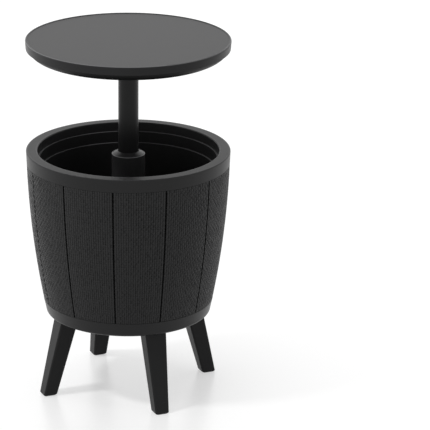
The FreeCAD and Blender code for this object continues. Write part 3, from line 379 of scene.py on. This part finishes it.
def ledge_edges(tree):
    """Mask of the edges of the liner's two ledges, inside its mouth, where a highlight is painted."""
    across, height = around_axis(tree)
    near = []
    for ledge in LEDGES:
        away = math_node(tree, "ABSOLUTE", math_node(tree, "SUBTRACT", height, ledge))
        share = math_node(tree, "DIVIDE", away, LEDGE_HIGHLIGHT_REACH)
        near.append(math_node(tree, "SUBTRACT", 1.0, share, clamp=True))
    inside = math_node(tree, "LESS_THAN", across, INSIDE_MOUTH)
    return math_node(tree, "MULTIPLY", math_node(tree, "MAXIMUM", *near), inside)


def paint_liner_highlights():
    """Liner's resin, with painted highlights along its two ledges and the two edges of its rim."""
    material = moulded("liner_resin", shade=0.012, rough=0.4, specular=0.26, grain=2200.0, depth=0.01 * MM)
    # Painted highlights: paler colour along the two ledges, and along the mouth's and the rim's round edges
    paint_paler_highlight(material, ledge_edges(material.node_tree), shade=0.12)
    paint_edge_highlight(material, MOUTH_EDGE, shade=0.05)
    return paint_edge_highlight(material, RIM_EDGE, shade=0.05)


def paint_lid_highlight():
    """Table top's resin, with a painted highlight along its upper edge."""
    material = moulded(
        "lid_resin", shade=0.032, rough=0.37, specular=0.18, grain=1600.0, depth=0.03 * MM, scuffs=0.35,
        uneven=0.02
    )
    # Painted highlight: paler colour along the lid's upper round edge
    return paint_edge_highlight(material, LID_EDGE, shade=0.2)


def paint_collar_highlight():
    """Column's resin, with a painted highlight along its collar's edge."""
    material = moulded("column_resin", shade=0.037, rough=0.3, grain=2200.0, depth=0.01 * MM)
    # Painted highlight: paler colour along the collar's round edge
    return paint_edge_highlight(material, COLLAR_EDGE, shade=0.3)


def woven_resin():
    """Moulded weave: grained resin, with painted shade darkening the hollows, which are also duller, with
    fine fibres along the strands.
    """
    material, tree, shader = new_material("woven_resin", specular=0.25)
    resin = place_group(
        tree, GRAIN, Colour=cool_grey(WEAVE_SHADE), Grain=1800.0, Roughness=0.29, Unevenness=0.08
    )
    lift, weft, wear = (read_attribute(tree, name) for name in ("lift", "weft", "wear"))
    painted_shade = (PAINTED_HOLLOW_SHADE, PAINTED_HOLLOW_SHADE, PAINTED_HOLLOW_SHADE, 1)
    # Painted shade: the hollows are darkened towards the hollow shade by the lift mask
    tone = mix_colour(tree, lift, painted_shade, resin.outputs["Colour"])
    tree.links.new(tone, shader.inputs["Base Color"])
    depth = math_node(tree, "SUBTRACT", 1.0, lift)
    duller = math_node(tree, "MULTIPLY", depth, HOLLOW_DULLNESS)
    uneven = math_node(tree, "ADD", duller, math_node(tree, "MULTIPLY", wear, GLOSS_CHANGE))
    dullness = math_node(tree, "ADD", resin.outputs["Roughness"], uneven, clamp=True)
    tree.links.new(dullness, shader.inputs["Roughness"])
    across, up, _ = split_vector(tree, coordinates(tree, "UV"))
    pick = tree.nodes.new("ShaderNodeMix")
    tree.links.new(weft, pick.inputs["Factor"])
    tree.links.new(math_node(tree, "MULTIPLY", across, STAKES * FIBRES * math.tau), pick.inputs["A"])
    tree.links.new(math_node(tree, "MULTIPLY", up, ROWS * FIBRES * math.tau), pick.inputs["B"])
    fibre = math_node(tree, "MULTIPLY", math_node(tree, "COSINE", pick.outputs["Result"]), FIBRE_HEIGHT)
    grain = math_node(tree, "MULTIPLY", resin.outputs["Height"], GRAIN_HEIGHT)
    add_bump(tree, shader, math_node(tree, "ADD", fibre, grain), depth=0.05 * MM)
    return material


def soft_rubber():
    """Dull black seal rubber with a little bloom."""
    material, tree, shader = new_material("seal_rubber", specular=0.2)
    resin = place_group(
        tree, GRAIN, Colour=(0.012, 0.012, 0.012, 1), Grain=900.0, Roughness=0.7, Unevenness=0.15
    )
    bloom = noise_node(tree, coordinates(tree), scale=60.0, detail=4.0)
    mask = scaled_above(tree, bloom, start=0.5, gain=0.8)
    tone = mix_colour(tree, mask, resin.outputs["Colour"], (0.05, 0.05, 0.05, 1))
    tree.links.new(tone, shader.inputs["Base Color"])
    tree.links.new(resin.outputs["Roughness"], shader.inputs["Roughness"])
    add_bump(tree, shader, resin.outputs["Height"], depth=0.04 * MM)
    return material


def plated_steel():
    """Zinc-plated steel: slightly cloudy plating with a very fine grain."""
    material, tree, shader = new_material("screw_steel", specular=0.5)
    shader.inputs["Metallic"].default_value = 1.0
    cloud = noise_node(tree, coordinates(tree), scale=220.0, detail=4.0)
    tone = mix_colour(tree, cloud, (0.42, 0.42, 0.43, 1), (0.62, 0.62, 0.6, 1))
    tree.links.new(tone, shader.inputs["Base Color"])
    duller = math_node(tree, "MULTIPLY", cloud, PLATING_CLOUD)
    rough = math_node(tree, "ADD", duller, PLATING_ROUGHNESS)
    tree.links.new(rough, shader.inputs["Roughness"])
    fine = noise_node(tree, coordinates(tree), scale=2600.0, detail=1.0)
    add_bump(tree, shader, fine, depth=0.01 * MM)
    return material


FINISHES = {
    "woven_resin": woven_resin(),
    "shell_resin": moulded("shell_resin", shade=0.018, rough=0.36, specular=0.24, depth=0.03 * MM),
    "liner_resin": paint_liner_highlights(),
    "leg_resin": moulded(
        "leg_resin", shade=0.014, rough=0.45, specular=0.17, depth=0.03 * MM, scuffs=0.8
    ),
    "lid_resin": paint_lid_highlight(),
    "pole_resin": moulded(
        "pole_resin", shade=0.016, rough=0.29, specular=0.2, grain=2200.0, depth=0.01 * MM
    ),
    "inner_resin": moulded("inner_resin", shade=0.11, rough=0.38, grain=2000.0, depth=0.01 * MM),
    "seal_rubber": soft_rubber(),
    "screw_steel": plated_steel(),
}
COLUMN_RESIN = paint_collar_highlight()
NODE_FINISHES = {
    "outer_shell": FINISHES["shell_resin"],
    "column_tube": COLUMN_RESIN,
    "column_collar": COLUMN_RESIN,
    # Painted shade: the lid's underside gets a darker, duller copy of the lid's resin
    "lid_underside": moulded(
        "pan_painted_shade_resin", shade=0.008, rough=0.45, specular=0.12, grain=1600.0, depth=0.03 * MM
    ),
}
# Painted shade: near-black, barely glossy resin for the dark sheet on the groove floors
GROOVE_SHADE_SHEET = moulded("groove_shade_sheet", shade=0.002, rough=0.8, specular=0.05, scuffs=0.0)


def build_smoothing():
    """Geometry group: joins the loose triangles, parts them at sharp edges and shades them smooth."""
    group = bpy.data.node_groups.new("smooth_faces", "GeometryNodeTree")
    for way in ("INPUT", "OUTPUT"):
        group.interface.new_socket(name="Geometry", in_out=way, socket_type="NodeSocketGeometry")
    given = group.nodes.new("NodeGroupInput")
    result = group.nodes.new("NodeGroupOutput")
    drop = group.nodes.new("GeometryNodeRemoveAttribute")
    drop.inputs["Name"].default_value = "custom_normal"
    weld = group.nodes.new("GeometryNodeMergeByDistance")
    weld.inputs["Distance"].default_value = WELD_REACH
    angle = group.nodes.new("GeometryNodeInputMeshEdgeAngle")
    sharp = group.nodes.new("FunctionNodeCompare")
    sharp.operation = "GREATER_THAN"
    sharp.inputs["B"].default_value = SHARP_ANGLE
    part = group.nodes.new("GeometryNodeSplitEdges")
    shade = group.nodes.new("GeometryNodeSetShadeSmooth")
    links = group.links
    links.new(given.outputs["Geometry"], drop.inputs["Geometry"])
    links.new(drop.outputs["Geometry"], weld.inputs["Geometry"])
    links.new(weld.outputs["Geometry"], part.inputs["Mesh"])
    links.new(angle.outputs["Unsigned Angle"], sharp.inputs["A"])
    links.new(sharp.outputs["Result"], part.inputs["Selection"])
    links.new(part.outputs["Mesh"], shade.inputs["Geometry"])
    links.new(shade.outputs["Geometry"], result.inputs["Geometry"])
    return group


def dress_nodes():
    """Give every CAD node its finish and smooth shading, with its flat faces left flat."""
    smoothing = build_smoothing()
    finish_of = {part["node"]: part["material_slot"] for part in frame["record"]["subparts"]}
    for name, node in frame["nodes"].items():
        node.data.materials.clear()
        node.data.materials.append(NODE_FINISHES.get(name) or FINISHES[finish_of[name]])
        node.modifiers.new("smooth_faces", "NODES").node_group = smoothing
        node.modifiers.new("flat_faces_flat", "WEIGHTED_NORMAL").mode = "FACE_AREA"


def new_piece(name, bm, body, material):
    """Finish a bmesh as a piece that rides on a body."""
    mesh = bpy.data.meshes.new(name)
    bm.to_mesh(mesh)
    bm.free()
    piece = bpy.data.objects.new(name, mesh)
    bpy.context.scene.collection.objects.link(piece)
    mesh.materials.append(material)
    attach(piece, body)
    return piece


def field_radius(height):
    """Radius of the tub's curved side at a height, on one circular arc."""
    rise = FIELD_TOP - BASE_BAND_TOP
    run = FIELD_TOP_RADIUS - FIELD_FOOT_RADIUS
    chord = math.hypot(rise, run)
    arc_radius = (chord / 2) ** 2 / (2 * FIELD_BULGE) + FIELD_BULGE / 2
    depth = arc_radius - FIELD_BULGE
    centre_z = (FIELD_TOP + BASE_BAND_TOP) / 2 + depth * run / chord
    centre_r = (FIELD_TOP_RADIUS + FIELD_FOOT_RADIUS) / 2 - depth * rise / chord
    return centre_r + math.sqrt(arc_radius ** 2 - (height - centre_z) ** 2)


def on_tub(radius, angle, height):
    """Point at a radius and an angle round the tub."""
    return Vector((radius * math.cos(angle), radius * math.sin(angle), height))


def strand_height(swing, crown, across):
    """Height of a strand's surface from its swing over and under, and the place across its crown."""
    return STRAND_SWING * swing + crown * (math.sqrt(max(0.0, 1 - (CROWN_SPREAD * across) ** 2)) - 1)


def weave_height(u, v, seed):
    """Height of the weave at u stakes and v rows into the panel, and whether the weft is on top."""
    stake, row = math.floor(u), math.floor(v)
    across = u - stake - 0.5
    weft = strand_height(math.cos(math.pi * (u - 0.5 + row)), WEFT_CROWN, v - row - 0.5)
    warp = strand_height(-math.cos(math.pi * (v - 0.5 + stake)), STAKE_CROWN, across)
    near_gap = math.floor(u + 0.5)
    spot = Vector(step * place for step, place in zip(PINCH_STEPS, (near_gap, v, seed)))
    pinch = 1.0 + GAP_PINCH * noise.noise(spot)
    beside = max(0.0, (abs(2 * across) - GAP_START) / (1 - GAP_START))
    gap = GAP_DEPTH * pinch * beside ** GAP_CURVE
    odd = noise.cell(Vector((u, v, seed + 0.5)))
    lean = STRAND_LEAN * across * ((1.0 if weft > warp else -1.0) + LEAN_VARIATION * odd)
    return max(weft, warp) - gap - STRAND_VARIATION * (0.5 + 0.5 * odd) + lean, weft > warp


def weave_panel(name, turn, seed):
    """One panel of the basket weave, laid on the tub's curved side between two grooves."""
    bm = bmesh.new()
    bm.loops.layers.uv.new("UVMap")
    bmesh.ops.create_grid(
        bm, x_segments=STAKES * CELL_STEPS, y_segments=ROWS * CELL_STEPS, size=0.5, calc_uvs=True
    )
    lift = bm.verts.layers.float.new("lift")
    on_top = bm.verts.layers.float.new("weft")
    wear = bm.verts.layers.float.new("wear")
    half_angle = math.pi / PANELS - GROOVE_ANGLE / 2
    for vert in bm.verts:
        across, up = vert.co.x + 0.5, vert.co.y + 0.5
        u = min(across * STAKES, STAKES - JUST_INSIDE)
        v = min(up * ROWS, ROWS - JUST_INSIDE)
        height, weft = weave_height(u, v, seed)
        vert[lift] = max(0.0, min(1.0, 0.5 + height / (2 * STRAND_SWING)))
        vert[on_top] = 1.0 if weft else 0.0
        oddness = noise.cell(Vector((u, v, seed)))
        vert[wear] = GLOSS_VARIATION * oddness + (WEFT_GLOSS if weft else -WEFT_GLOSS)
        if across in (0.0, 1.0) or up in (0.0, 1.0):
            height = -STRAND_SWING
        height = max(-STRAND_SWING, min(STRAND_SWING, height))
        z = WEAVE_FOOT + (WEAVE_TOP - WEAVE_FOOT) * up
        angle = turn + half_angle * (2 * across - 1)
        vert.co = on_tub(field_radius(z) + WEAVE_LIFT + height, angle, z)
    rim = [edge for edge in bm.edges if edge.is_boundary]
    skirt = bmesh.ops.extrude_edge_only(bm, edges=rim)["geom"]
    for vert in (item for item in skirt if isinstance(item, bmesh.types.BMVert)):
        outwards = Vector((vert.co.x, vert.co.y, 0)).normalized()
        vert.co -= outwards * WEAVE_SKIRT
    for face in bm.faces:
        face.smooth = True
    new_piece(name, bm, "tub", FINISHES["woven_resin"])


def weave_tub():
    """Twelve woven panels round the tub."""
    for number in range(PANELS):
        weave_panel(f"woven_panel_{number + 1:02d}", math.tau * (number + 0.5) / PANELS, number)


def shade_grooves():
    """Painted shade: a dark sheet on the floors of the grooves between the panels."""
    bm = bmesh.new()
    low, high = BASE_BAND_TOP + SHADE_SHEET_END, FIELD_TOP - SHADE_SHEET_END
    for number in range(PANELS):
        strip = bmesh.ops.create_grid(bm, x_segments=1, y_segments=SHADE_SHEET_STEPS, size=0.5)["verts"]
        for vert in strip:
            z = low + (high - low) * (vert.co.y + 0.5)
            angle = math.tau * number / PANELS + SHADE_SHEET_SHARE * GROOVE_ANGLE * vert.co.x
            vert.co = on_tub(field_radius(z) + GROOVE_FLOOR, angle, z)
    new_piece("groove_painted_shade", bm, "tub", GROOVE_SHADE_SHEET)


def hang_lamp(name, lamp, place, aim):
    """Put a lamp at a place that turns with the camera, aimed at a point, and hide it from gloss."""
    rig = bpy.data.objects.new(name, lamp)
    rig.location = Matrix.Rotation(CAMERA_TURN, 4, "Z") @ place
    rig.rotation_euler = (aim - rig.location).to_track_quat("-Z", "Y").to_euler()
    rig.visible_glossy = False
    bpy.context.scene.collection.objects.link(rig)


def light_the_studio():
    """Large soft lamps above, behind and beside the object."""
    for name, (place, width, height, radiance) in SOFTBOXES.items():
        lamp = bpy.data.lights.new(name, "AREA")
        lamp.shape = "RECTANGLE"
        lamp.size = width
        lamp.size_y = height
        lamp.energy = radiance * math.pi * width * height
        hang_lamp(name, lamp, Vector(place), LAMP_AIM)


def add_soft_sun():
    """Even light from the left, high up and a little in front, which throws the object's shadow."""
    lamp = bpy.data.lights.new("soft_sun", "SUN")
    lamp.angle = SUN_BREADTH
    lamp.energy = SUN_STRENGTH
    hang_lamp("soft_sun", lamp, SUN_SIDE, Vector())


def seen_rays(tree):
    """One where a camera, glossy or transmission ray looks, which shows the white surround."""
    path = tree.nodes.new("ShaderNodeLightPath")
    direct = math_node(tree, "MAXIMUM", path.outputs["Is Camera Ray"], path.outputs["Is Glossy Ray"])
    return math_node(tree, "MAXIMUM", direct, path.outputs["Is Transmission Ray"])


def set_world():
    """White where it is seen, and a weak even light elsewhere."""
    world = bpy.data.worlds.new("white_surround")
    bpy.context.scene.world = world
    world.use_nodes = True
    tree = world.node_tree
    sky = tree.nodes["Background"]
    brighter = math_node(tree, "MULTIPLY", seen_rays(tree), 1.0 - DIM_WORLD)
    sky.inputs["Color"].default_value = (1, 1, 1, 1)
    tree.links.new(math_node(tree, "ADD", brighter, DIM_WORLD), sky.inputs["Strength"])


def pale_floor():
    """Floor's material: white where it is seen, but for a share that takes the object's shadow."""
    material, tree, shader = new_material("pale_floor", specular=0.5)
    shader.inputs["Roughness"].default_value = FLOOR_ROUGHNESS
    shader.inputs["Emission Color"].default_value = (1, 1, 1, 1)
    seen = seen_rays(tree)
    away = tree.nodes.new("ShaderNodeVectorMath")
    away.operation = "LENGTH"
    tree.links.new(coordinates(tree), away.inputs[0])
    beyond = math_node(tree, "SUBTRACT", away.outputs["Value"], FADE_START)
    halvings = math_node(tree, "DIVIDE", beyond, SHADOW_FADE)
    near = math_node(tree, "POWER", 0.5, halvings, clamp=True)
    pale = math_node(tree, "MULTIPLY", near, NEAR_PALE)
    glow = math_node(tree, "SUBTRACT", FLOOR_WHITE, math_node(tree, "MULTIPLY", pale, FLOOR_LIGHT))
    tree.links.new(mix_colour(tree, seen, FLOOR_BOUNCE, pale), shader.inputs["Base Color"])
    tree.links.new(math_node(tree, "MULTIPLY", seen, glow), shader.inputs["Emission Strength"])
    return material


def lay_floor():
    """Plain round floor under the object."""
    bm = bmesh.new()
    bmesh.ops.create_circle(bm, cap_ends=True, segments=96, radius=FLOOR_RADIUS)
    mesh = bpy.data.meshes.new("floor")
    bm.to_mesh(mesh)
    bm.free()
    mesh.materials.append(pale_floor())
    floor = bpy.data.objects.new("floor", mesh)
    bpy.context.scene.collection.objects.link(floor)


def set_camera():
    """Camera at the photograph's viewpoint."""
    lens = bpy.data.cameras.new("camera")
    lens.lens = CAMERA_LENS
    lens.sensor_width = 36.0
    lens.clip_end = 100.0
    camera = bpy.data.objects.new("camera", lens)
    turned = Matrix.Rotation(CAMERA_TURN, 4, "Z")
    dipped = Matrix.Rotation(math.pi / 2 - CAMERA_DIP, 4, "X")
    yawed = Matrix.Rotation(-CAMERA_YAW, 4, "Y")
    stand = turned @ Vector((0, -CAMERA_DISTANCE, CAMERA_HEIGHT))
    camera.matrix_world = Matrix.Translation(stand) @ turned @ dipped @ yawed
    bpy.context.scene.collection.objects.link(camera)
    bpy.context.scene.camera = camera


bpy.context.scene.view_settings.view_transform = "Standard"
dress_nodes()
weave_tub()
shade_grooves()
light_the_studio()
add_soft_sun()
set_world()
lay_floor()
set_camera()
